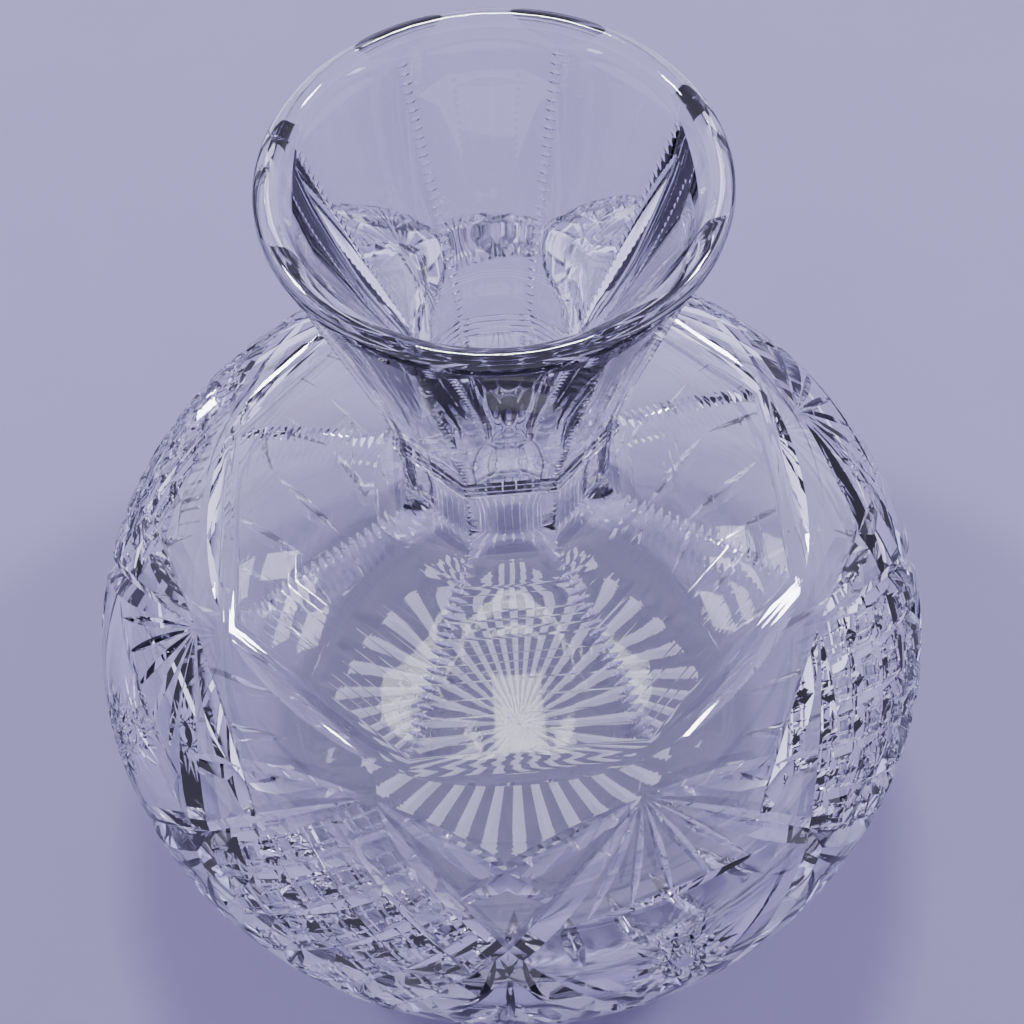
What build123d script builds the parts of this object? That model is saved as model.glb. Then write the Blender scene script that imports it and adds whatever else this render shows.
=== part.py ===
from build123d import *

import os
from math import acos, asin, atan2, cos, degrees, hypot, radians, sin, tan

# Cut-glass wine decanter: one blown vessel with its cutting.
# Millimetres. +Z is up, the origin is the centre of the resting plane, and the front is -Y.
# An azimuth is in degrees from the front, growing towards +X.

# ---- Bowl ----
BOWL_R = 78.0             # greatest outer radius
EQUATOR_Z = 47.5          # height of the greatest radius
UPPER_H = 51.8            # vertical semi-axis of the outer skin above the equator
LOWER_H = 59.5            # vertical semi-axis of the outer skin below the equator
BOWL_IN_R = 72.0          # greatest inner radius
UPPER_IN_H = 45.3         # vertical semi-axis of the inner skin above the equator
LOWER_IN_H = 36.0         # vertical semi-axis of the inner skin below the equator
FLOOR_Z = 13.5            # top of the thick glass under the bowl

# ---- Neck and mouth ----
NECK_R = 18.3             # outer radius of the round blank at the waist
SHOULDER_JOIN_R = 24.0    # radius where the neck's hollow root leaves the shoulder
WAIST_Z = 112.0           # height where the neck starts to flare
FLARE_R = 58.0            # radius of the flare's outer curve, seen from the side
FLARE_ANGLE = 16.2        # slope of the flared neck from the vertical
BORE_R = 12.5             # inner radius of the neck
BORE_JOIN_R = 22.0        # radius where the bore's root leaves the inner shoulder
FUNNEL_R = 40.0           # radius of the funnel's inner curve, seen from the side
FUNNEL_ANGLE = 24.4       # slope of the funnel from the vertical
TOTAL_H = 170.5
LIP_IN_R = 28.4           # inner radius at the top of the funnel
LIP_ROUND = 1.9           # radius of the polished lip

# ---- Panel flutes of the neck and shoulder ----
FLUTES = 8
FLUTE_TURN = 3.0          # azimuth of the flute nearest the front
FLUTE_BITE = 0.3          # how far a ridge between flutes sits under the blank's skin
FLUTE_TOP_Z = 165.0       # height where a flute starts to run out under the lip
FLUTE_RUNOUT = 48.0       # slope of that run-out from the vertical
FLUTE_RIDGE_END = 46.7    # distance from the axis where a flute starts to run out on the shoulder
FLUTE_END_R = 52.2        # distance from the axis where it has run out
FLUTE_REACH = 45.0        # half the length of a flute's cutter across the neck
RIBS = 3                  # ribs of the step ring round the neck
RIB_Z = 119.0             # height of the middle rib
RIB_PITCH = 1.5
RIB_ACROSS = 35.6         # distance across the flats of a rib's crest
RIB_SLOPE = 45            # slope of a rib's two faces

# ---- Wheel cuts ----
PEAKS = 8                 # peaks of the zigzag round the shoulder
PATTERN_TURN = -1.8       # azimuth of the zigzag's front valley
PEAK_LAT = 43.0           # latitudes on the bowl, in degrees above its equator
CROSS_LAT = 28.0
KITE_LAT = 19.3
POINT_LAT = -17.0
CROSS_SHARE = 1.42        # azimuth of a zigzag cut's far end, as a share of half a peak's pitch
MITRE_DEPTH = 1.7
MITRE_ANGLE = 96.0        # angle between the two faces of a mitre
GRID_DEPTH = 1.3
GRID_LINES = 4            # deep lines each way across a hatched diamond
STAR_RAYS = 32
STAR_R = 39.0             # distance from the axis to a ray's outer point
STAR_WIDE_R = 30.5        # distance from the axis to a ray's widest place
STAR_IN_R = 2.5           # distance from the axis where a ray starts
STAR_DEPTH = 1.5          # depth of a ray at its widest place
STAR_ANGLE = 92.0         # angle between the two faces of a ray
PETAL_LAT = -50.0         # latitude where the upright cuts over the foot start
WHEEL_H = 4.0             # height of the wheel's edge above its tip
SETTLE = 4                # steps that settle a point onto the skin
CLEAR = 0.25              # how far outside the glass a cut starts and ends

PITCH = 360 / PEAKS
COS_HALF = cos(radians(180 / FLUTES))
FAR = BOWL_R + FLUTE_REACH


def on_bowl(radius, height, latitude):
    """Point of a bowl's outline, in a plane through the axis."""
    return Vector(radius * cos(radians(latitude)), EQUATOR_Z + height * sin(radians(latitude)))


def bowl_normal(radius, height, latitude):
    """Outward normal of that outline."""
    return Vector(cos(radians(latitude)) / radius, sin(radians(latitude)) / height).normalized()


def bowl_arc(radius, height, start, end):
    """Stretch of a bowl's outline between two latitudes."""
    return EllipticalCenterArc((0, EQUATOR_Z), radius, height, start, arc_size=end - start)


def root_arc(radius, height, join_r, wall_r):
    """Hollow root between a bowl's outline and an upright wall: its arc, latitude and top."""
    latitude = degrees(acos(join_r / radius))
    normal = bowl_normal(radius, height, latitude)
    size = (join_r - wall_r) / (1 - normal.X)
    start = on_bowl(radius, height, latitude)
    centre = start + normal * size
    middle = centre - (normal + Vector(1, 0)).normalized() * size
    top = centre - Vector(size, 0)
    return ThreePointArc(start, middle, top), latitude, top


def flare_arc(start, size, angle):
    """Arc that leaves an upright wall and leans out by an angle, and its end."""
    points = [
        start + Vector(size * (1 - cos(radians(lean))), size * sin(radians(lean)))
        for lean in (angle / 2, angle)
    ]
    return ThreePointArc(start, *points), points[1]


def up_slope(start, height, angle):
    """Point at a height on a straight line that leans out from the vertical by an angle."""
    return Vector(start.X + (height - start.Y) * tan(radians(angle)), height)


def blank():
    """Round glass before any cutting: foot, bowl, neck, mouth and the hollow inside."""
    lip_z = TOTAL_H - LIP_ROUND
    lean = radians(FUNNEL_ANGLE)
    funnel_run = LIP_IN_R - BORE_R - FUNNEL_R * (1 - cos(lean))
    funnel_z = lip_z - funnel_run / tan(lean) - FUNNEL_R * sin(lean)
    foot_lat = -degrees(asin(EQUATOR_Z / LOWER_H))
    floor_lat = -degrees(asin((EQUATOR_Z - FLOOR_Z) / LOWER_IN_H))
    foot = on_bowl(BOWL_R, LOWER_H, foot_lat)
    floor = on_bowl(BOWL_IN_R, LOWER_IN_H, floor_lat)
    waist = Vector(NECK_R, WAIST_Z)
    bore_top = Vector(BORE_R, funnel_z)
    root, root_lat, neck = root_arc(BOWL_R, UPPER_H, SHOULDER_JOIN_R, NECK_R)
    in_root, in_lat, bore = root_arc(BOWL_IN_R, UPPER_IN_H, BORE_JOIN_R, BORE_R)
    flare, flare_end = flare_arc(waist, FLARE_R, FLARE_ANGLE)
    funnel, funnel_end = flare_arc(bore_top, FUNNEL_R, FUNNEL_ANGLE)
    lip_out = up_slope(flare_end, lip_z, FLARE_ANGLE)
    lip_in = Vector(LIP_IN_R, lip_z)
    outline = [
        Line((0, 0), foot),
        bowl_arc(BOWL_R, LOWER_H, foot_lat, 0),
        bowl_arc(BOWL_R, UPPER_H, 0, root_lat),
        root,
        Line(neck, waist),
        flare,
        Line(flare_end, lip_out),
        ThreePointArc(lip_out, ((lip_out.X + lip_in.X) / 2, TOTAL_H), lip_in),
        Line(lip_in, funnel_end),
        funnel,
        Line(bore_top, bore),
        in_root,
        bowl_arc(BOWL_IN_R, UPPER_IN_H, 0, in_lat),
        bowl_arc(BOWL_IN_R, LOWER_IN_H, floor_lat, 0),
        Line(floor, (0, FLOOR_Z)),
        Line((0, FLOOR_Z), (0, 0)),
    ]
    return revolve(Plane.XZ * make_face(outline), Axis.Z)


def flutes():
    """Glass taken away by the flutes, which run from under the lip to the zigzag."""
    down = Vector(0, -FLUTE_BITE)
    neck_r = (NECK_R - FLUTE_BITE) * COS_HALF
    panel_r = BOWL_R * COS_HALF
    root, root_lat, neck = root_arc(panel_r, UPPER_H, SHOULDER_JOIN_R * COS_HALF, neck_r)
    ridge_lat = degrees(acos(FLUTE_RIDGE_END / panel_r))
    ridge_end = on_bowl(panel_r, UPPER_H, ridge_lat) + down
    normal = bowl_normal(panel_r, UPPER_H, ridge_lat)
    way_out = on_bowl(BOWL_R, UPPER_H, degrees(acos(FLUTE_END_R / BOWL_R)))
    outside = way_out + (way_out - ridge_end)
    waist = Vector(neck_r, WAIST_Z)
    flare, flare_end = flare_arc(waist, FLARE_R * COS_HALF, FLARE_ANGLE * COS_HALF)
    top = up_slope(flare_end, FLUTE_TOP_Z, FLARE_ANGLE * COS_HALF)
    above = up_slope(top, TOTAL_H, FLUTE_RUNOUT)
    outline = [
        Line(outside, way_out),
        TangentArc(ridge_end, way_out, tangent=(normal.Y, -normal.X)),
        Location(down) * bowl_arc(panel_r, UPPER_H, ridge_lat, root_lat),
        Location(down) * root,
        Line(neck + down, waist),
        flare,
        Line(flare_end, top),
        Line(top, above),
        Polyline(above, (FAR, above.Y), (FAR, outside.Y), outside),
    ]
    flute = extrude(Plane.XZ * make_face(outline), FLUTE_REACH, both=True)
    front = Rot(0, 0, FLUTE_TURN - 90) * flute
    return [Rot(0, 0, turn * 360 / FLUTES) * front for turn in range(FLUTES)]


def step_ring():
    """Fine ribs round the neck, eight-sided because they follow the flutes' flat panels."""
    ribs = Part()
    for rib in range(RIBS):
        height = RIB_Z + (rib - (RIBS - 1) / 2) * RIB_PITCH
        crest = Pos(0, 0, height) * RegularPolygon(RIB_ACROSS / 2, FLUTES, major_radius=False)
        for way in (1, -1):
            ribs += extrude(crest, way * RIB_PITCH / 2, taper=RIB_SLOPE)
    ribs -= Pos(0, 0, RIB_Z) * Cylinder((BORE_R + NECK_R) / 2, RIBS * RIB_PITCH * 2)
    return Rot(0, 0, FLUTE_TURN + 180 / FLUTES) * ribs


def skin(azimuth, latitude):
    """Point of the round bowl's outer skin, and the outward normal there."""
    height = UPPER_H if latitude > 0 else LOWER_H
    point = on_bowl(BOWL_R, height, latitude)
    normal = bowl_normal(BOWL_R, height, latitude)
    out = Vector(sin(radians(azimuth)), -cos(radians(azimuth)))
    return out * point.X + Vector(0, 0, point.Y), out * normal.X + Vector(0, 0, normal.Y)


def wheel_cut(points, normal, angle=MITRE_ANGLE):
    """Glass taken by a V-edged wheel whose tip passes through three points, open along a normal."""
    start, middle, end = points
    centre = ThreePointArc(start, middle, end).arc_center
    spoke = (start - centre).normalized()
    out = spoke * (WHEEL_H if spoke.dot(normal) > 0 else -WHEEL_H)
    axle = (start - centre).cross(end - centre).normalized()
    side = axle * (WHEEL_H * tan(radians(angle / 2)))
    edge = make_face(Polyline(start, start + out + side, start + out - side, close=True))
    turned = (start - centre).get_angle(end - centre)
    return revolve(edge, Axis(centre, axle), turned)


def under(point):
    """Azimuth and latitude of the skin's point that lies square over a point of the glass."""
    lifted = point
    for _ in range(SETTLE):
        azimuth = degrees(atan2(lifted.X, -lifted.Y))
        height = UPPER_H if lifted.Z > EQUATOR_Z else LOWER_H
        rise = (lifted.Z - EQUATOR_Z) / height
        latitude = degrees(atan2(rise, hypot(lifted.X, lifted.Y) / BOWL_R))
        foot, normal = skin(azimuth, latitude)
        lifted = point + normal * (foot - point).dot(normal)
    return azimuth, latitude


def mitre(start, end, depths):
    """Cut square into the bowl between two azimuth and latitude pairs, with its three depths."""
    middle = under((skin(*start)[0] + skin(*end)[0]) / 2)
    points = []
    for place, depth in zip((start, middle, end), depths):
        point, normal = skin(*place)
        points.append(point - normal * depth)
    return wheel_cut(points, skin(*middle)[1])


def zigzag(peak, way):
    """Cuts that leave one peak on one side: the shoulder's zigzag and the diamond under it."""
    side = peak + way * PITCH / 2
    cross = (peak + way * CROSS_SHARE * PITCH / 2, CROSS_LAT)
    top = (peak, PEAK_LAT)
    kite = (side, KITE_LAT)
    point = (side + way * PITCH / 2, POINT_LAT)
    return [
        mitre(top, cross, (-CLEAR, MITRE_DEPTH, -CLEAR)),
        mitre(top, kite, (-CLEAR, MITRE_DEPTH, MITRE_DEPTH)),
        mitre(kite, point, (MITRE_DEPTH, MITRE_DEPTH, -CLEAR)),
    ]


def between(start, end, share):
    """Azimuth and latitude part of the way from one pair to another."""
    return start[0] + (end[0] - start[0]) * share, start[1] + (end[1] - start[1]) * share


def grid(peak):
    """Deep lines both ways across the diamond under a peak."""
    top = (peak, PEAK_LAT)
    point = (peak, POINT_LAT)
    left = (peak - PITCH / 2, KITE_LAT)
    right = (peak + PITCH / 2, KITE_LAT)
    cuts = []
    for line in range(GRID_LINES):
        share = (line + 1) / (GRID_LINES + 1)
        depths = (GRID_DEPTH, GRID_DEPTH, GRID_DEPTH)
        cuts.append(mitre(between(top, left, share), between(right, point, share), depths))
        cuts.append(mitre(between(top, right, share), between(left, point, share), depths))
    return cuts


def petals(azimuth, top_lat):
    """Upright leaf-shaped cut that rises from the foot."""
    return mitre((azimuth, PETAL_LAT), (azimuth, top_lat), (-CLEAR, MITRE_DEPTH, -CLEAR))


def star():
    """Rays cut into the underside of the foot, which widen outwards and end in points."""
    foot = -2 * CLEAR
    ends = []
    for distance, tip in (
        (STAR_IN_R, STAR_DEPTH * STAR_IN_R / STAR_WIDE_R),
        (STAR_WIDE_R, STAR_DEPTH),
        (STAR_R, -CLEAR),
    ):
        half = (tip - foot) * tan(radians(STAR_ANGLE / 2))
        corners = [Vector(distance, way * half, foot) for way in (1, -1)]
        ends.append(make_face(Polyline(Vector(distance, 0, tip), *corners, close=True)))
    ray = loft(ends, ruled=True)
    return [Rot(0, 0, turn * 360 / STAR_RAYS) * ray for turn in range(STAR_RAYS)]


def decanter():
    """The whole vessel: blank, flutes, step ring, then every wheel cut."""
    glass = blank() - flutes() + step_ring()
    cuts = star()
    for number in range(PEAKS):
        peak = PATTERN_TURN + (number + 0.5) * PITCH
        cuts += zigzag(peak, 1) + zigzag(peak, -1)
        cuts.append(petals(peak, POINT_LAT))
        cuts.append(petals(peak + PITCH / 2, 0))
        if number % 2:
            cuts += grid(peak)
    for cut in cuts:
        glass -= cut
    return glass.solids().sort_by(SortBy.VOLUME)[-1]


os.makedirs("parts", exist_ok=True)
export_step(decanter(), "parts/decanter_glass.step")
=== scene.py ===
"""Cut-glass wine decanter on a plain studio floor.

The vessel is one piece of glass, made in the order in which a glass house makes it: a round blank
is spun, the neck and shoulder are panelled with flutes, and V-edged wheels then cut the step ring,
the ridges' notches, the mitres of the bowl, its hatched and starred diamonds and the star under
the foot. Everything is in metres, in the frame of the solid model.
"""

import logging
from dataclasses import dataclass, field
from enum import Enum
from math import acos, asin, atan2, cos, degrees, hypot, pi, radians, sin, tan

import bmesh
import bpy
from mathutils import Matrix, Vector


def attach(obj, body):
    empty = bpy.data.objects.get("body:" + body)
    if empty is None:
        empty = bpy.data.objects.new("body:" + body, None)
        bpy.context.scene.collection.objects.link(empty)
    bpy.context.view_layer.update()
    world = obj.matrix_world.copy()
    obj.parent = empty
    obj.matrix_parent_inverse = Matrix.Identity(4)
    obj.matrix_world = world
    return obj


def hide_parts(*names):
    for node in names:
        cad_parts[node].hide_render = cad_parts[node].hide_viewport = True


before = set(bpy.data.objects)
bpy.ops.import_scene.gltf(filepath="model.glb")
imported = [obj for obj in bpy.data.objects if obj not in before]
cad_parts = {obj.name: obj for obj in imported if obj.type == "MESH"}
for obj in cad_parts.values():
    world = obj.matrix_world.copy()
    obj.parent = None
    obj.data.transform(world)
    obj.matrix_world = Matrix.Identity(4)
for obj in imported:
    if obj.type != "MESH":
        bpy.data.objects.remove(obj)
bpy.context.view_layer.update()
LOG = logging.getLogger("decanter")
NODE = "decanter_glass"
BODY = "root"
MM = 0.001
REFINEMENTS = 4
LAVENDER = (0.82, 0.79, 1.0)
WHITE = (1.0, 1.0, 1.0)
Color = tuple[float, float, float, float]
Place = tuple[float, float]


class Operation(Enum):
    """What a cutter does to the glass."""

    CUT = "DIFFERENCE"
    FUSE = "UNION"


def arc(centre: Vector, radii: tuple[float, float], start: float, end: float, steps: int) -> list[Vector]:
    """Points of an upright arc, which lies in the plane through the vessel's axis.

    Args:
        centre: Centre of the arc's circle or ellipse.
        radii: Horizontal and vertical semi-axes.
        start: First angle in degrees, from the horizontal.
        end: Last angle in degrees.
        steps: Number of stretches between the two.

    Returns:
        The points, both ends included.
    """
    angles = [radians(start + (end - start) * step / steps) for step in range(steps + 1)]
    return [centre + Vector((radii[0] * cos(a), 0, radii[1] * sin(a))) for a in angles]


def part_way(start: Place, end: Place, share: float) -> Place:
    """Finds a place between two others on the bowl, each an azimuth and a latitude.

    Args:
        start: First place.
        end: Last place.
        share: Share of the way, from 0 to 1.

    Returns:
        The place between.
    """
    return start[0] + (end[0] - start[0]) * share, start[1] + (end[1] - start[1]) * share


def spin_round(mesh: bmesh.types.BMesh, steps: int) -> None:
    """Spins an outline about the vessel's axis into a closed body.

    Args:
        mesh: Holds only the outline's vertices and edges, in the plane of X and Z.
        steps: Number of stretches round the axis.
    """
    outline = mesh.verts[:] + mesh.edges[:]
    bmesh.ops.spin(mesh, geom=outline, cent=(0, 0, 0), axis=(0, 0, 1), dvec=(0, 0, 0),
                   angle=2 * pi, steps=steps, use_merge=True, use_duplicate=False)
    bmesh.ops.remove_doubles(mesh, verts=mesh.verts, dist=0.001 * MM)
    bmesh.ops.recalc_face_normals(mesh, faces=mesh.faces)


def draw(mesh: bmesh.types.BMesh, points: list[Vector], closed: bool) -> list:
    """Draws a chain of edges through points.

    Args:
        mesh: Receives the chain.
        points: Its corners in order.
        closed: Whether the last point joins the first.

    Returns:
        The new vertices.
    """
    corners = [mesh.verts.new(point) for point in points]
    pairs = list(zip(corners, corners[1:]))
    if closed:
        pairs.append((corners[-1], corners[0]))
    for pair in pairs:
        mesh.edges.new(pair)
    return corners


def to_object(mesh: bmesh.types.BMesh, name: str) -> bpy.types.Object:
    """Turns a finished bmesh into an object in the scene.

    Args:
        mesh: The bmesh; freed here.
        name: Name of the object and of its mesh.

    Returns:
        The new object.
    """
    data = bpy.data.meshes.new(name)
    mesh.to_mesh(data)
    mesh.free()
    made = bpy.data.objects.new(name, data)
    bpy.context.scene.collection.objects.link(made)
    return made


def curve(start: Vector, corner: Vector, end: Vector, steps: int) -> list[Vector]:
    """Points of a soft curve that is drawn towards a corner.

    Args:
        start: First point.
        corner: Corner of the two straight lines that the curve leaves and joins.
        end: Last point.
        steps: Number of stretches.

    Returns:
        The points, both ends included.
    """
    shares = [step / steps for step in range(steps + 1)]
    return [start * (1 - s) ** 2 + corner * 2 * s * (1 - s) + end * s ** 2 for s in shares]


@dataclass(frozen=True)
class Bowl:
    """Round skin of the bowl: two half-ellipses of revolution that meet at the equator."""

    radius: float
    equator: float
    upper: float
    lower: float

    def height(self, latitude: float) -> float:
        """Vertical semi-axis on one side of the equator.

        Args:
            latitude: Any latitude on that side, in degrees.

        Returns:
            The semi-axis.
        """
        return self.upper if latitude > 0 else self.lower

    def latitude_at(self, radius: float) -> float:
        """Latitude of the upper skin at a distance from the axis.

        Args:
            radius: The distance.

        Returns:
            The latitude in degrees.
        """
        return degrees(acos(radius / self.radius))

    def stretch(self, start: float, end: float, steps: int) -> list[Vector]:
        """Outline between two latitudes on one side of the equator.

        Args:
            start: First latitude in degrees.
            end: Last latitude in degrees.
            steps: Number of stretches.

        Returns:
            The points, both ends included.
        """
        radii = (self.radius, self.height(start + end))
        return arc(Vector((0, 0, self.equator)), radii, start, end, steps)

    def skin(self, place: Place) -> tuple[Vector, Vector]:
        """Point of the skin and its outward normal.

        Args:
            place: Azimuth from the front, towards +X, and latitude, in degrees.

        Returns:
            The point and the unit normal.
        """
        turn, lean = radians(place[0]), radians(place[1])
        height = self.height(place[1])
        out = Vector((sin(turn), -cos(turn), 0))
        point = out * self.radius * cos(lean) + Vector((0, 0, self.equator + height * sin(lean)))
        normal = out * (cos(lean) / self.radius) + Vector((0, 0, sin(lean) / height))
        return point, normal.normalized()

    def under(self, point: Vector) -> Place:
        """Place on the skin that lies square over a point inside the glass.

        Args:
            point: A point a little under the skin.

        Returns:
            Its azimuth and latitude in degrees.
        """
        lifted = point.copy()
        place = (0.0, 0.0)
        for _ in range(REFINEMENTS):
            rise = lifted.z - self.equator
            across = hypot(lifted.x, lifted.y) / self.radius
            latitude = degrees(atan2(rise / self.height(rise), across))
            place = (degrees(atan2(lifted.x, -lifted.y)), latitude)
            foot, normal = self.skin(place)
            lifted = point + normal * (foot - point).dot(normal)
        return place


@dataclass(frozen=True)
class Root:
    """Hollow quarter-round between a bowl's shoulder and an upright wall."""

    bowl: Bowl
    join: float
    wall: float

    @property
    def latitude(self) -> float:
        """Latitude where the root leaves the bowl.

        Returns:
            The latitude in degrees.
        """
        return self.bowl.latitude_at(self.join)

    def points(self, steps: int) -> list[Vector]:
        """Outline from the bowl up to the wall.

        Args:
            steps: Number of stretches.

        Returns:
            The points, both ends included.
        """
        lean = radians(self.latitude)
        normal = Vector((cos(lean) / self.bowl.radius, 0, sin(lean) / self.bowl.upper)).normalized()
        size = (self.join - self.wall) / (1 - normal.x)
        start = Vector((self.join, 0, self.bowl.equator + self.bowl.upper * sin(lean)))
        leave = 180 + degrees(atan2(normal.z, normal.x))
        return arc(start + normal * size, (size, size), leave, 180, steps)


@dataclass(frozen=True)
class Flare:
    """Wall that leaves the vertical on an arc and leans out to a straight slope."""

    foot: Vector
    size: float
    lean: float

    def points(self, steps: int) -> list[Vector]:
        """Outline of the arc, from its foot up.

        Args:
            steps: Number of stretches.

        Returns:
            The points, both ends included.
        """
        centre = self.foot + Vector((self.size, 0, 0))
        return arc(centre, (self.size, self.size), 180, 180 - self.lean, steps)

    def slope_at(self, height: float) -> Vector:
        """Point of the straight slope at a height.

        Args:
            height: Height above the foot's plane.

        Returns:
            The point.
        """
        end = self.points(1)[-1]
        return Vector((end.x + (height - end.z) * tan(radians(self.lean)), 0, height))

    def slope(self, low: float, high: float, steps: int) -> list[Vector]:
        """Points up the straight slope.

        Args:
            low: Height where the slope begins, which is left out.
            high: Height of the last point.
            steps: Number of stretches.

        Returns:
            The points.
        """
        return [self.slope_at(low + (high - low) * (step / steps)) for step in range(1, steps + 1)]


@dataclass
class Blank:
    """Round glass before any cutting: foot, bowl, neck, mouth and the hollow inside."""

    bowl: Bowl = Bowl(78.0 * MM, 47.5 * MM, 51.8 * MM, 59.5 * MM)
    hollow: Bowl = Bowl(72.0 * MM, 47.5 * MM, 45.3 * MM, 36.0 * MM)
    neck_radius: float = 18.3 * MM
    neck_join: float = 24.0 * MM
    waist: float = 112.0 * MM
    flare_size: float = 58.0 * MM
    flare_lean: float = 16.2
    bore_radius: float = 12.5 * MM
    bore_join: float = 22.0 * MM
    funnel_size: float = 40.0 * MM
    funnel_lean: float = 24.4
    mouth_radius: float = 28.4 * MM
    lip_round: float = 1.9 * MM
    height: float = 170.49 * MM
    floor: float = 13.5 * MM
    floor_round: float = 9.0 * MM
    foot_round: float = 0.5 * MM
    foot_bevel: tuple[float, float] = (0.1, 0.5)
    turns: int = 144
    foot_steps: int = 26
    shoulder_steps: int = 44
    root_steps: int = 9
    flare_steps: int = 9
    slope_steps: int = 5
    lip_steps: int = 12
    funnel_steps: int = 10
    funnel_slope_steps: int = 4
    bore_steps: int = 10
    roof_steps: int = 52
    side_steps: int = 36
    floor_steps: int = 7

    def neck_root(self) -> Root:
        """Hollow root of the neck on the shoulder.

        Returns:
            The root.
        """
        return Root(self.bowl, self.neck_join, self.neck_radius)

    def flare(self) -> Flare:
        """Flared outside of the neck.

        Returns:
            The flare.
        """
        return Flare(Vector((self.neck_radius, 0, self.waist)), self.flare_size, self.flare_lean)

    def outer(self) -> list[Vector]:
        """Outline of the outside, from the foot's edge to the lip.

        Returns:
            The points.
        """
        foot = -degrees(asin(self.bowl.equator / self.bowl.lower))
        root = self.neck_root()
        edge = self.bowl.stretch(foot, 0, self.foot_steps)
        lift = Vector((0, 0, self.foot_round))
        inset = Vector((self.foot_round, 0, 0))
        bevel = inset * self.foot_bevel[0] + lift * self.foot_bevel[1]
        points = [edge[0] - inset, edge[0] + bevel] + edge[1:]
        points += self.bowl.stretch(0, root.latitude, self.shoulder_steps)[1:]
        points += root.points(self.root_steps)[1:]
        points += self.flare().points(self.flare_steps)
        lip = self.height - self.lip_round
        return points + self.flare().slope(points[-1].z, lip, self.slope_steps)

    def inner(self) -> list[Vector]:
        """Outline of the hollow, from the lip down to the middle of the floor.

        Returns:
            The points.
        """
        lip = self.height - self.lip_round
        lean = radians(self.funnel_lean)
        run = self.mouth_radius - self.bore_radius - self.funnel_size * (1 - cos(lean))
        start = lip - run / tan(lean) - self.funnel_size * sin(lean)
        funnel = Flare(Vector((self.bore_radius, 0, start)), self.funnel_size, self.funnel_lean)
        points = funnel.points(self.funnel_steps)
        points += funnel.slope(points[-1].z, lip, self.funnel_slope_steps)
        points.reverse()
        root = Root(self.hollow, self.bore_join, self.bore_radius)
        points += root.points(self.bore_steps)[::-1]
        points += self.hollow.stretch(root.latitude, 0, self.roof_steps)[1:]
        deep = -degrees(asin((self.hollow.equator - self.floor) / self.hollow.lower))
        side = self.hollow.stretch(0, deep, self.side_steps)[1:]
        return points + self.rounded_floor(side)

    def rounded_floor(self, side: list[Vector]) -> list[Vector]:
        """Joins the hollow's side to its flat floor with a soft corner.

        Args:
            side: Outline of the side, down to where it would meet the floor.

        Returns:
            The side above the corner, the corner, and the middle of the floor.
        """
        corner = side[-1]
        kept = [point for point in side if (point - corner).length > self.floor_round]
        end = corner - Vector((self.floor_round, 0, 0))
        bend = curve(kept[-1], corner, end, self.floor_steps)[1:]
        return kept + bend + [Vector((end.x / 2, 0, end.z)), Vector((0, 0, end.z))]

    def build(self) -> bpy.types.Object:
        """Spins the blank.

        Returns:
            The closed vessel, not yet cut.
        """
        outer, inner = self.outer(), self.inner()
        middle = (outer[-1] + inner[0]) / 2
        half = (outer[-1].x - inner[0].x) / 2
        lip = arc(middle, (half, self.lip_round), 0, 180, self.lip_steps)[1:-1]
        mesh = bmesh.new()
        draw(mesh, [Vector((0, 0, 0))] + outer + lip + inner, closed=False)
        spin_round(mesh, self.turns)
        return to_object(mesh, "cut_vessel")


@dataclass
class Bench:
    """Cutting bench: holds the glass and takes away or adds what the cutters describe."""

    glass: bpy.types.Object
    passes: int = 0

    def work(self, mesh: bmesh.types.BMesh, operation: Operation = Operation.CUT) -> None:
        """Cuts or fuses one set of cutters that don't reach into each other.

        Args:
            mesh: Closed cutter bodies; used up here.
            operation: Whether they cut the glass or join it.
        """
        bmesh.ops.recalc_face_normals(mesh, faces=mesh.faces)
        cutter = to_object(mesh, "cutter")
        change = self.glass.modifiers.new("wheel", "BOOLEAN")
        change.solver = "MANIFOLD"
        change.operation = operation.value
        change.object = cutter
        before = self.glass.data
        view = bpy.context.evaluated_depsgraph_get()
        self.glass.data = bpy.data.meshes.new_from_object(self.glass.evaluated_get(view))
        self.glass.modifiers.clear()
        bpy.data.meshes.remove(before)
        spent = cutter.data
        bpy.data.objects.remove(cutter)
        bpy.data.meshes.remove(spent)
        self.passes += 1


@dataclass(frozen=True)
class Wheel:
    """V-edged cutting wheel that runs over the glass on an arc."""

    angle: float
    reach: float
    steps: int

    def run(self, mesh: bmesh.types.BMesh, points: list[Vector], normal: Vector) -> None:
        """Adds the body that the wheel's edge sweeps through three points.

        Args:
            mesh: Receives the body.
            points: Where the edge enters, where it is half-way and where it leaves.
            normal: Outward normal of the glass half-way.
        """
        start, middle, end = points
        to_middle, to_end = middle - start, end - start
        square = to_middle.cross(to_end)
        spread = to_end * to_middle.length_squared - to_middle * to_end.length_squared
        centre = start + spread.cross(square) / (2 * square.length_squared)
        axle = (start - centre).cross(end - centre).normalized()
        spoke = (start - centre).normalized()
        out = spoke * (self.reach if spoke.dot(normal) > 0 else -self.reach)
        side = axle * (self.reach * tan(radians(self.angle / 2)))
        corners = draw(mesh, [start, start + out + side, start + out - side], closed=True)
        face = mesh.faces.new(corners)
        turn = (start - centre).angle(end - centre)
        bmesh.ops.spin(mesh, geom=[face] + corners + face.edges[:], cent=centre, axis=axle,
                       dvec=(0, 0, 0), angle=turn, steps=self.steps, use_merge=False, use_duplicate=False)


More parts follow.
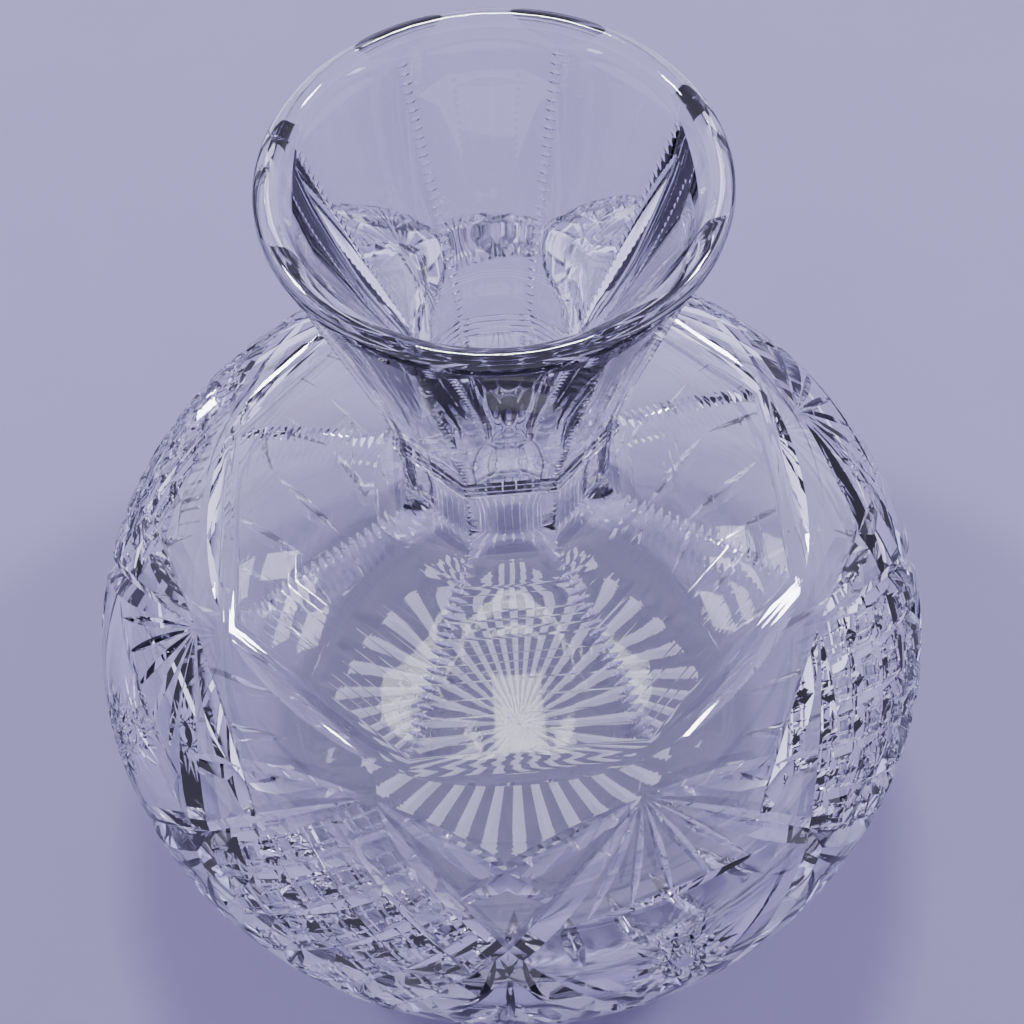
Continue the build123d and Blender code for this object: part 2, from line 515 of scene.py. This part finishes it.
@dataclass
class Flutes:
    """Panels cut down the neck and out over the shoulder."""

    blank: Blank
    count: int = 8
    turn: float = 3.0
    bite: float = 0.3 * MM
    top: float = 165.0 * MM
    runout: float = 48.0
    ridge_end: float = 46.7 * MM
    end_radius: float = 52.2 * MM
    reach: float = 45.0 * MM
    end_steps: int = 8
    shoulder_steps: int = 56
    root_steps: int = 16
    flare_steps: int = 14
    ridge_steps: int = 40
    ridge_bend_steps: int = 12

    def panel(self) -> list[Vector]:
        """Outline of one panel from the shoulder to its way out under the lip.

        Returns:
            The points.
        """
        flat = cos(pi / self.count)
        bowl = self.blank.bowl
        drop = Vector((0, 0, -self.bite))
        panel_bowl = Bowl(bowl.radius * flat, bowl.equator - self.bite, bowl.upper, bowl.lower)
        wall = (self.blank.neck_radius - self.bite) * flat
        root = Root(panel_bowl, self.blank.neck_join * flat, wall)
        ridge = panel_bowl.latitude_at(self.ridge_end)
        exit_lat = bowl.latitude_at(self.end_radius)
        way_out = bowl.stretch(exit_lat, exit_lat + 1, 1)[0]
        ridge_point, before = panel_bowl.stretch(ridge, ridge + 0.5, 1)
        slope = (ridge_point - before).normalized()
        mid = ridge_point + slope * (way_out - ridge_point).length * 0.5
        points = [way_out + (way_out - mid)]
        points += curve(way_out, mid, ridge_point, self.end_steps)
        points += panel_bowl.stretch(ridge, root.latitude, self.shoulder_steps)[1:]
        points += root.points(self.root_steps)[1:]
        waist = Vector((wall, 0, self.blank.waist))
        flare = Flare(waist, self.blank.flare_size * flat, self.blank.flare_lean * flat)
        points += flare.points(self.flare_steps)
        points.append(flare.slope_at(self.top))
        away = self.blank.height + drop.length - self.top
        return points + [points[-1] + Vector((away * tan(radians(self.runout)), 0, away))]

    def cut(self, bench: Bench) -> None:
        """Cuts the panels in opposite pairs.

        Args:
            bench: Holds the glass.
        """
        section = self.panel()
        far = self.blank.bowl.radius + self.reach
        corners = section + [Vector((far, 0, section[-1].z)), Vector((far, 0, section[0].z))]
        across = Vector((0, 2 * self.reach, 0))
        for pair in range(self.count // 2):
            mesh = bmesh.new()
            for side in (0, 180):
                turn = radians(self.turn - 90 + side + pair * 360 / self.count)
                face = mesh.faces.new([mesh.verts.new(corner - across / 2) for corner in corners])
                made = bmesh.ops.extrude_face_region(mesh, geom=[face], use_keep_orig=True)
                moved = [item for item in made["geom"] if isinstance(item, bmesh.types.BMVert)]
                bmesh.ops.translate(mesh, verts=moved, vec=across)
                body = face.verts[:] + moved
                round_ = Matrix.Rotation(turn, 3, "Z")
                bmesh.ops.rotate(mesh, verts=body, cent=(0, 0, 0), matrix=round_)
            bench.work(mesh)

    def ridge_line(self) -> list[Vector]:
        """Outline of the ridge between two flutes, from under the lip down over the shoulder.

        Returns:
            The points.
        """
        bowl = self.blank.bowl
        root = self.blank.neck_root()
        end = bowl.latitude_at(self.ridge_end / cos(pi / self.count))
        line = bowl.stretch(end, root.latitude, self.ridge_steps)
        line += root.points(self.ridge_bend_steps)[1:]
        line += self.blank.flare().points(self.ridge_bend_steps)
        line.append(self.blank.flare().slope_at(self.top))
        return [point - Vector((0, 0, self.bite)) for point in reversed(line)]


@dataclass
class StepRing:
    """Fine ribs round the neck, which keep the flutes' eight sides."""

    flutes: Flutes
    ribs: int = 3
    height: float = 119.0 * MM
    pitch: float = 1.5 * MM
    across: float = 35.6 * MM
    rib: float = 0.75 * MM
    crest_start: float = 0.4
    crest_end: float = 0.6
    sunk: float = 2.0 * MM

    def add(self, bench: Bench) -> None:
        """Fuses the ribs to the neck.

        Args:
            bench: Holds the glass.
        """
        corner = 1 / cos(pi / self.flutes.count)
        inside = (self.flutes.blank.bore_radius + self.sunk) * corner
        low = self.height - self.ribs * self.pitch / 2
        crest = self.across / 2 * corner
        points = [Vector((inside, 0, low))]
        for rib in range(self.ribs):
            start = low + rib * self.pitch
            points.append(Vector((crest - self.rib, 0, start)))
            points.append(Vector((crest, 0, start + self.pitch * self.crest_start)))
            points.append(Vector((crest, 0, start + self.pitch * self.crest_end)))
        high = low + self.ribs * self.pitch
        points += [Vector((crest - self.rib, 0, high)), Vector((inside, 0, high))]
        mesh = bmesh.new()
        draw(mesh, points, closed=True)
        spin_round(mesh, self.flutes.count)
        turn = Matrix.Rotation(radians(self.flutes.turn - 90 + 180 / self.flutes.count), 3, "Z")
        bmesh.ops.rotate(mesh, verts=mesh.verts, cent=(0, 0, 0), matrix=turn)
        bench.work(mesh, Operation.FUSE)


@dataclass
class RidgeNotches:
    """Small notches that a fine wheel cuts across every ridge between two flutes."""

    flutes: Flutes
    pitch: float = 1.5 * MM
    depth: float = 0.62 * MM
    half_length: float = 2.4 * MM
    wheel: Wheel = Wheel(90.0, 0.8 * MM, 4)

    def cut(self, bench: Bench) -> None:
        """Cuts all notches of all ridges, from the top down.

        Args:
            bench: Holds the glass.
        """
        line = self.flutes.ridge_line()
        mesh = bmesh.new()
        travelled = self.pitch / 2
        for start, end in zip(line, line[1:]):
            along = end - start
            while travelled < along.length:
                self.notch(mesh, start + along.normalized() * travelled, along.normalized())
                travelled += self.pitch
            travelled -= along.length
        bench.work(mesh)

    def notch(self, mesh: bmesh.types.BMesh, point: Vector, along: Vector) -> None:
        """Adds one level's notches, one on each ridge.

        Args:
            mesh: Receives the wheel's sweeps.
            point: Point of the ridge, in the plane of X and Z.
            along: Direction of the ridge there.
        """
        out = Vector((-along.z, 0, along.x))
        side = Vector((0, self.half_length, 0))
        for number in range(self.flutes.count):
            turn = radians(self.flutes.turn - 90 + (number + 0.5) * 360 / self.flutes.count)
            round_ = Matrix.Rotation(turn, 3, "Z")
            run = (point - side, point - out * self.depth, point + side)
            self.wheel.run(mesh, [round_ @ corner for corner in run], round_ @ out)


@dataclass
class BaseStar:
    """Rayed star cut into the underside of the foot, whose rays widen outwards and end in points."""

    rays: int = 32
    radius: float = 38.5 * MM
    widest: float = 30.5 * MM
    inner: float = 1.2 * MM
    depth: float = 1.5 * MM
    share: float = 0.48
    clear: float = 0.4 * MM
    rings: int = 12
    tip_rings: int = 6
    skin: float = 0.04 * MM

    def groove(self, radius: float) -> float:
        """Depth of a ray's bottom at a distance from the axis.

        Args:
            radius: The distance.

        Returns:
            The depth, below zero where the ray has run out of the glass.
        """
        if radius < self.widest:
            return self.depth * radius / self.widest
        tip = (radius - self.widest) / (self.radius - self.widest)
        return self.depth - (self.depth + self.clear) * tip

    def holds(self, point: Vector) -> bool:
        """Tells whether a point of the finished glass lies in one of the rays.

        Args:
            point: The point.

        Returns:
            Whether it does.
        """
        above = self.skin < point.z < self.depth + self.clear
        return above and hypot(point.x, point.y) < self.radius

    def cut(self, bench: Bench) -> None:
        """Cuts all the rays with one star-shaped body, ridged between each pair of rays.

        Args:
            bench: Holds the glass.
        """
        spread = self.widest - self.inner
        tip = self.radius - self.widest
        radii = [self.inner + spread * ring / self.rings for ring in range(self.rings)]
        radii += [self.widest + tip * ring / self.tip_rings for ring in range(self.tip_rings + 1)]
        under = -self.depth - self.clear
        top = [Vector((radius, 0, self.groove(radius))) for radius in radii]
        bottom = [Vector((radii[-1], 0, under)), Vector((0, 0, under))]
        mesh = bmesh.new()
        draw(mesh, [Vector((0, 0, self.groove(self.inner)))] + top + bottom, closed=False)
        spin_round(mesh, 2 * self.rays)
        step = pi / self.rays
        for corner in mesh.verts:
            radius = hypot(corner.co.x, corner.co.y)
            meridian = round(atan2(corner.co.y, corner.co.x) / step)
            if meridian % 2 and corner.co.z > under + self.clear / 2:
                ridge = self.groove(radius) * (1 / self.share - 1)
                corner.co.z = -max(ridge, self.clear / 2)
        bench.work(mesh)


class Panel(Enum):
    """How the diamond under a peak is cut."""

    HATCHED = 0
    STARRED = 1


@dataclass
class BowlCutting:
    """Mitres of the bowl: the zigzag round the shoulder, and the diamonds that hang from its peaks."""

    bowl: Bowl
    peaks: int = 8
    turn: float = -1.8
    peak: float = 43.0
    crossing: Place = (1.42, 28.0)
    kite: float = 19.3
    point: float = -17.0
    clear: float = 0.25 * MM
    zigzag_depth: float = 2.2 * MM
    side_depth: float = 1.9 * MM
    deep: float = 1.6 * MM
    fine: float = 0.38 * MM
    cells: int = 5
    fine_per_cell: int = 3
    fan_shares: tuple[float, ...] = (0.14, 0.32, 0.5, 0.68, 0.86)
    fan_length: float = 0.78
    fan_depth: float = 0.9 * MM
    star_points: int = 16
    star_skip: int = 7
    star_latitude: float = 9.0
    star_radius: float = 13.0 * MM
    skirt_leans: tuple[float, ...] = (-0.26, 0.0, 0.26)
    skirt_top: float = 9.0
    leaf_top: float = -21.0
    leaf_foot: float = -50.0
    leaves_per_peak: int = 4
    wheel: Wheel = Wheel(96.0, 2.6 * MM, 14)
    fine_wheel: Wheel = Wheel(88.0, 0.85 * MM, 14)
    deep_wheel: Wheel = Wheel(98.0, 1.9 * MM, 14)
    fan_wheel: Wheel = Wheel(86.0, 1.4 * MM, 14)

    @property
    def pitch(self) -> float:
        """Azimuth between two peaks.

        Returns:
            The angle in degrees.
        """
        return 360 / self.peaks

    def azimuths(self, kind: Panel | None = None) -> list[float]:
        """Azimuths of the peaks.

        Args:
            kind: Limits them to the peaks over one kind of panel.

        Returns:
            The azimuths in degrees.
        """
        first = self.turn - self.pitch / 2
        numbers = [n for n in range(self.peaks) if kind is None or n % 2 == kind.value]
        return [first + n * self.pitch for n in numbers]

    def corners(self, azimuth: float) -> dict[str, Place]:
        """Corners of the diamond under a peak.

        Args:
            azimuth: Azimuth of the peak.

        Returns:
            The place of each corner by its name.
        """
        return {
            "top": (azimuth, self.peak),
            "left": (azimuth - self.pitch / 2, self.kite),
            "right": (azimuth + self.pitch / 2, self.kite),
            "point": (azimuth, self.point),
        }

    def mitre(self, mesh: bmesh.types.BMesh, wheel: Wheel, ends: tuple[Place, Place],
              depths: tuple[float, float, float]) -> None:
        """Adds one cut, square to the skin at its middle.

        Args:
            mesh: Receives the wheel's sweep.
            wheel: Wheel that makes the cut.
            ends: First and last place of the cut.
            depths: Depth at the first place, half-way and at the last.
        """
        middle = self.bowl.under((self.bowl.skin(ends[0])[0] + self.bowl.skin(ends[1])[0]) / 2)
        points = []
        for place, depth in zip((ends[0], middle, ends[1]), depths):
            point, normal = self.bowl.skin(place)
            points.append(point - normal * depth)
        wheel.run(mesh, points, self.bowl.skin(middle)[1])

    def zigzag(self, bench: Bench) -> None:
        """Cuts the arms that leave each peak to both sides, and the sides of the diamonds.

        Args:
            bench: Holds the glass.
        """
        out = -self.clear
        for way in (1, -1):
            arms, sides, tails = bmesh.new(), bmesh.new(), bmesh.new()
            for azimuth in self.azimuths():
                top = (azimuth, self.peak)
                far = (azimuth + way * self.crossing[0] * self.pitch / 2, self.crossing[1])
                kite = (azimuth + way * self.pitch / 2, self.kite)
                point = (azimuth + way * self.pitch, self.point)
                self.mitre(arms, self.wheel, (top, far), (out, self.zigzag_depth, out))
                self.mitre(sides, self.wheel, (top, kite), (out, self.side_depth, self.side_depth))
                self.mitre(tails, self.wheel, (kite, point), (self.side_depth, self.side_depth, out))
            for mesh in (arms, sides, tails):
                bench.work(mesh)

    def hatching(self, bench: Bench) -> None:
        """Cuts the hatched diamonds: deep lines both ways, and fine ones in every cell.

        Args:
            bench: Holds the glass.
        """
        lines = self.cells * self.fine_per_cell
        for first, second in (("left", "right"), ("right", "left")):
            deep, fine = bmesh.new(), bmesh.new()
            for azimuth in self.azimuths(Panel.HATCHED):
                corner = self.corners(azimuth)
                for line in range(1, lines):
                    share = line / lines
                    ends = (part_way(corner["top"], corner[first], share),
                            part_way(corner[second], corner["point"], share))
                    if line % self.fine_per_cell:
                        self.mitre(fine, self.fine_wheel, ends, (self.fine,) * 3)
                    else:
                        self.mitre(deep, self.deep_wheel, ends, (self.deep,) * 3)
            bench.work(fine)
            bench.work(deep)

    def fans(self, bench: Bench) -> None:
        """Cuts the rays that spread from each starred diamond's peak, and the chord they end on.

        Args:
            bench: Holds the glass.
        """
        for ray in (None,) + self.fan_shares:
            mesh = bmesh.new()
            for azimuth in self.azimuths(Panel.STARRED):
                corner = self.corners(azimuth)
                left = part_way(corner["top"], corner["left"], self.fan_length)
                right = part_way(corner["top"], corner["right"], self.fan_length)
                ends = (left, right)
                if ray is not None:
                    ends = (corner["top"], part_way(left, right, ray))
                self.mitre(mesh, self.fan_wheel, ends, (-self.clear, self.fan_depth, -self.clear))
            bench.work(mesh)

    def stars(self, bench: Bench) -> None:
        """Cuts a many-pointed star of crossing chords into each starred diamond.

        Args:
            bench: Holds the glass.
        """
        for chord in range(self.star_points):
            mesh = bmesh.new()
            for azimuth in self.azimuths(Panel.STARRED):
                centre, normal = self.bowl.skin((azimuth, self.star_latitude))
                east = Vector((0, 0, 1)).cross(normal).normalized()
                north = normal.cross(east)
                ends = []
                for number in (chord, chord + self.star_skip):
                    angle = 2 * pi * number / self.star_points
                    spoke = (east * cos(angle) + north * sin(angle)) * self.star_radius
                    ends.append(self.bowl.under(centre + spoke))
                depths = (-self.clear, self.fan_depth, -self.clear)
                self.mitre(mesh, self.fan_wheel, tuple(ends), depths)
            bench.work(mesh)

    def skirts(self, bench: Bench) -> None:
        """Cuts the small fans under the kites and the upright leaves over the foot.

        Args:
            bench: Holds the glass.
        """
        for lean in self.skirt_leans:
            mesh = bmesh.new()
            for azimuth in self.azimuths():
                kite = azimuth + self.pitch / 2
                ends = ((kite, self.skirt_top), (kite + lean * self.pitch, self.leaf_top))
                self.mitre(mesh, self.fan_wheel, ends, (-self.clear, self.fan_depth, -self.clear))
            bench.work(mesh)
        leaves = bmesh.new()
        for number in range(self.leaves_per_peak * self.peaks):
            azimuth = self.turn + number * self.pitch / self.leaves_per_peak
            ends = ((azimuth, self.leaf_foot), (azimuth, self.leaf_top))
            self.mitre(leaves, self.wheel, ends, (-self.clear, self.side_depth, -self.clear))
        bench.work(leaves)

    def cut(self, bench: Bench) -> None:
        """Cuts the whole bowl, coarse work first.

        Args:
            bench: Holds the glass.
        """
        self.zigzag(bench)
        self.hatching(bench)
        self.fans(bench)
        self.stars(bench)
        self.skirts(bench)


class Recipe:
    """Material under construction, whose patterns all lie in the piece's Object coordinates."""

    def __init__(self, name: str) -> None:
        """Starts a material.

        Args:
            name: Its name.
        """
        self.material = bpy.data.materials.new(name)
        self.material.use_nodes = True
        self.nodes = self.material.node_tree.nodes
        self.links = self.material.node_tree.links
        self.shader = self.nodes["Principled BSDF"]
        self.where = self.nodes.new("ShaderNodeTexCoord")

    def noise(self, scale: float, detail: float) -> bpy.types.NodeSocket:
        """Adds a noise.

        Args:
            scale: Swells to a metre.
            detail: Number of finer layers.

        Returns:
            The noise's value.
        """
        grain = self.nodes.new("ShaderNodeTexNoise")
        grain.inputs["Scale"].default_value = scale
        grain.inputs["Detail"].default_value = detail
        self.links.new(self.where.outputs["Object"], grain.inputs["Vector"])
        return grain.outputs["Fac"]

    def blend(self, value: bpy.types.NodeSocket, low: Color, high: Color) -> None:
        """Colours the shader by a value.

        Args:
            value: The value, from 0 to 1.
            low: Colour at 0.
            high: Colour at 1.
        """
        hue = self.nodes.new("ShaderNodeValToRGB")
        hue.color_ramp.elements[0].color = low
        hue.color_ramp.elements[1].color = high
        self.links.new(value, hue.inputs["Fac"])
        self.links.new(hue.outputs["Color"], self.shader.inputs["Base Color"])

    def roughen(self, value: bpy.types.NodeSocket, source: tuple[float, float],
                target: tuple[float, float]) -> None:
        """Maps a value onto the shader's roughness.

        Args:
            value: The value.
            source: Range that is taken from it.
            target: Roughness at that range's two ends.
        """
        matt = self.nodes.new("ShaderNodeMapRange")
        matt.inputs["From Min"].default_value, matt.inputs["From Max"].default_value = source
        matt.inputs["To Min"].default_value, matt.inputs["To Max"].default_value = target
        self.links.new(value, matt.inputs["Value"])
        self.links.new(matt.outputs["Result"], self.shader.inputs["Roughness"])

    def glaze(self, clear_share: float, ior: float) -> None:
        """Lets light through.

        Args:
            clear_share: Share of the light that passes.
            ior: Refractive index.
        """
        self.shader.inputs["Transmission Weight"].default_value = clear_share
        self.shader.inputs["IOR"].default_value = ior


@dataclass(frozen=True)
class CrystalFinish:
    """Clear lead crystal with a faint lavender cast, polished after cutting."""

    tint: Color = (0.97, 0.965, 1.0, 1.0)
    clear: Color = (1.0, 1.0, 1.0, 1.0)
    depth_tint: Color = (0.62, 0.60, 0.86, 1.0)
    density: float = 6.0
    ior: float = 1.55
    cast_scale: float = 24.0
    cast_detail: float = 3.0
    marks_scale: float = 900.0
    marks_detail: float = 4.0
    marks_range: tuple[float, float] = (0.35, 0.75)
    marks_roughness: tuple[float, float] = (0.0, 0.05)
    swell_scale: float = 45.0
    swell_detail: float = 1.0
    swell_strength: float = 0.04
    swell_height: float = 1.0 * MM

    def material(self) -> bpy.types.Material:
        """Builds the glass: clear body, slight polish marks and a waviness left by the blowing.

        Returns:
            The finished material.
        """
        recipe = Recipe("lead_crystal")
        recipe.glaze(1.0, self.ior)
        recipe.blend(recipe.noise(self.cast_scale, self.cast_detail), self.tint, self.clear)
        marks = recipe.noise(self.marks_scale, self.marks_detail)
        recipe.roughen(marks, self.marks_range, self.marks_roughness)
        swell = recipe.nodes.new("ShaderNodeBump")
        swell.inputs["Strength"].default_value = self.swell_strength
        swell.inputs["Distance"].default_value = self.swell_height
        ripple = recipe.noise(self.swell_scale, self.swell_detail)
        recipe.links.new(ripple, swell.inputs["Height"])
        recipe.links.new(swell.outputs["Normal"], recipe.shader.inputs["Normal"])
        body = recipe.nodes.new("ShaderNodeVolumeAbsorption")
        body.inputs["Color"].default_value = self.depth_tint
        body.inputs["Density"].default_value = self.density
        recipe.links.new(body.outputs["Volume"], recipe.nodes["Material Output"].inputs["Volume"])
        return recipe.material


@dataclass(frozen=True)
class GroundFinish:
    """Crystal left matt by the cutting wheel, which scatters light and reads as white."""

    color: Color = (0.97, 0.96, 1.0, 1.0)
    grain: float = 1400.0
    grain_detail: float = 2.0
    roughness: tuple[float, float] = (0.08, 0.3)
    clear_share: float = 0.1
    ior: float = 1.55

    def material(self) -> bpy.types.Material:
        """Builds the matt glass with the wheel's grain in its roughness.

        Returns:
            The finished material.
        """
        recipe = Recipe("ground_crystal")
        recipe.shader.inputs["Base Color"].default_value = self.color
        recipe.glaze(self.clear_share, self.ior)
        recipe.roughen(recipe.noise(self.grain, self.grain_detail), (0.0, 1.0), self.roughness)
        return recipe.material


@dataclass(frozen=True)
class Softbox:
    """Panel of light that hangs in the room and faces the vessel."""

    name: str
    place: tuple[float, float, float]
    aim: tuple[float, float, float]
    size: tuple[float, float]
    power: float
    color: tuple[float, float, float]

    def hang(self) -> None:
        """Puts the panel in the scene."""
        light = bpy.data.lights.new(self.name, "AREA")
        light.shape = "RECTANGLE"
        light.size, light.size_y = self.size
        light.energy = self.power
        light.color = self.color
        lamp = bpy.data.objects.new(self.name, light)
        lamp.location = self.place
        look = Vector(self.aim) - Vector(self.place)
        lamp.rotation_euler = look.to_track_quat("-Z", "Y").to_euler()
        bpy.context.scene.collection.objects.link(lamp)


@dataclass
class Studio:
    """Pale floor, soft lights and the camera, none of which belong to the vessel."""

    floor_size: float = 6.0
    floor_drop: float = 0.2 * MM
    floor_color: Color = (0.13, 0.116, 0.198, 1.0)
    floor_roughness: float = 0.85
    mottle_scale: float = 30.0
    mottle_detail: float = 2.0
    mottle_gain: float = 1.06
    room: tuple[tuple[float, Color], ...] = (
        (0.0, (0.70, 0.65, 1.0, 1.0)),
        (0.45, (0.50, 0.46, 0.74, 1.0)),
        (0.9, (0.36, 0.33, 0.52, 1.0)),
    )
    room_strength: float = 2.3
    boxes: tuple[Softbox, ...] = (
        Softbox("left_softbox", (-0.85, 0.25, 0.95), (0, 0, 0.05), (0.2, 0.16), 20.0, LAVENDER),
        Softbox("right_softbox", (0.85, 0.25, 0.95), (0, 0, 0.05), (0.2, 0.16), 20.0, LAVENDER),
        Softbox("overhead", (0.0, 0.583, 1.25), (0, 0, 0), (0.24, 0.12), 16.0, WHITE),
    )
    eye: tuple[float, float, float] = (0.0009, -0.160, 0.3429)
    pitch: float = 58.28
    roll: float = -2.03
    lens: float = 61.0
    sensor: float = 36.0
    near: float = 0.01

    def floor(self) -> None:
        """Lays the floor with a faint mottle in its colour."""
        mesh = bmesh.new()
        bmesh.ops.create_grid(mesh, x_segments=2, y_segments=2, size=self.floor_size / 2)
        bmesh.ops.translate(mesh, verts=mesh.verts, vec=(0, 0, -self.floor_drop))
        sheet = to_object(mesh, "studio_floor")
        paper = Recipe("pale_paper")
        paper.shader.inputs["Roughness"].default_value = self.floor_roughness
        light = tuple(part * self.mottle_gain for part in self.floor_color[:3]) + (1.0,)
        paper.blend(paper.noise(self.mottle_scale, self.mottle_detail), self.floor_color, light)
        sheet.data.materials.append(paper.material)

    def dome(self) -> None:
        """Fills the room with soft lavender light, brightest near the floor."""
        world = bpy.data.worlds.new("studio_room")
        bpy.context.scene.world = world
        world.use_nodes = True
        nodes, links = world.node_tree.nodes, world.node_tree.links
        where = nodes.new("ShaderNodeTexCoord")
        parts = nodes.new("ShaderNodeSeparateXYZ")
        links.new(where.outputs["Generated"], parts.inputs["Vector"])
        ramp = nodes.new("ShaderNodeValToRGB")
        tones = ramp.color_ramp.elements
        tones.remove(tones[-1])
        tones[0].position, tones[0].color = self.room[0]
        for height, color in self.room[1:]:
            tones.new(height).color = color
        links.new(parts.outputs["Z"], ramp.inputs["Fac"])
        links.new(ramp.outputs["Color"], nodes["Background"].inputs["Color"])
        nodes["Background"].inputs["Strength"].default_value = self.room_strength

    def camera(self) -> None:
        """Sets the camera over the vessel's front, looking down into its mouth."""
        lens = bpy.data.cameras.new("studio_camera")
        lens.lens = self.lens
        lens.sensor_width = self.sensor
        lens.clip_start = self.near
        camera = bpy.data.objects.new("studio_camera", lens)
        lean = Matrix.Rotation(radians(90 - self.pitch), 4, "X")
        twist = Matrix.Rotation(radians(self.roll), 4, "Z")
        camera.matrix_world = Matrix.Translation(self.eye) @ lean @ twist
        bpy.context.scene.collection.objects.link(camera)
        bpy.context.scene.camera = camera

    def build(self) -> None:
        """Sets up the whole studio."""
        self.floor()
        self.dome()
        for box in self.boxes:
            box.hang()
        self.camera()


@dataclass
class Decanter:
    """The whole vessel, from blank to polished glass."""

    blank: Blank = field(default_factory=Blank)
    smooth_below: float = 22.0

    def build(self) -> bpy.types.Object:
        """Makes the vessel and gives it its place in the frame.

        Returns:
            The finished piece.
        """
        bench = Bench(self.blank.build())
        flutes = Flutes(self.blank)
        star = BaseStar()
        steps = [
            ("flutes", flutes.cut),
            ("ridge notches", RidgeNotches(flutes).cut),
            ("step ring", StepRing(flutes).add),
            ("base star", star.cut),
            ("bowl", BowlCutting(self.blank.bowl).cut),
        ]
        for name, step in steps:
            step(bench)
            faces = len(bench.glass.data.polygons)
            LOG.info("%s done, %d passes, %d faces", name, bench.passes, faces)
        vessel = bench.glass
        vessel.data.shade_smooth()
        vessel.data.set_sharp_from_angle(angle=radians(self.smooth_below))
        vessel.data.materials.clear()
        for finish in (CrystalFinish(), GroundFinish()):
            vessel.data.materials.append(finish.material())
        for face in vessel.data.polygons:
            face.material_index = int(star.holds(face.center))
        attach(vessel, BODY)
        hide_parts(NODE)
        return vessel


def main() -> None:
    """Builds the vessel and the studio."""
    logging.basicConfig(level=logging.INFO, format="%(name)s: %(message)s")
    vessel = Decanter().build()
    LOG.info("piece %s: %d vertices", vessel.name, len(vessel.data.vertices))
    Studio().build()
    LOG.info("studio set")


if __name__ == "__main__":
    main()
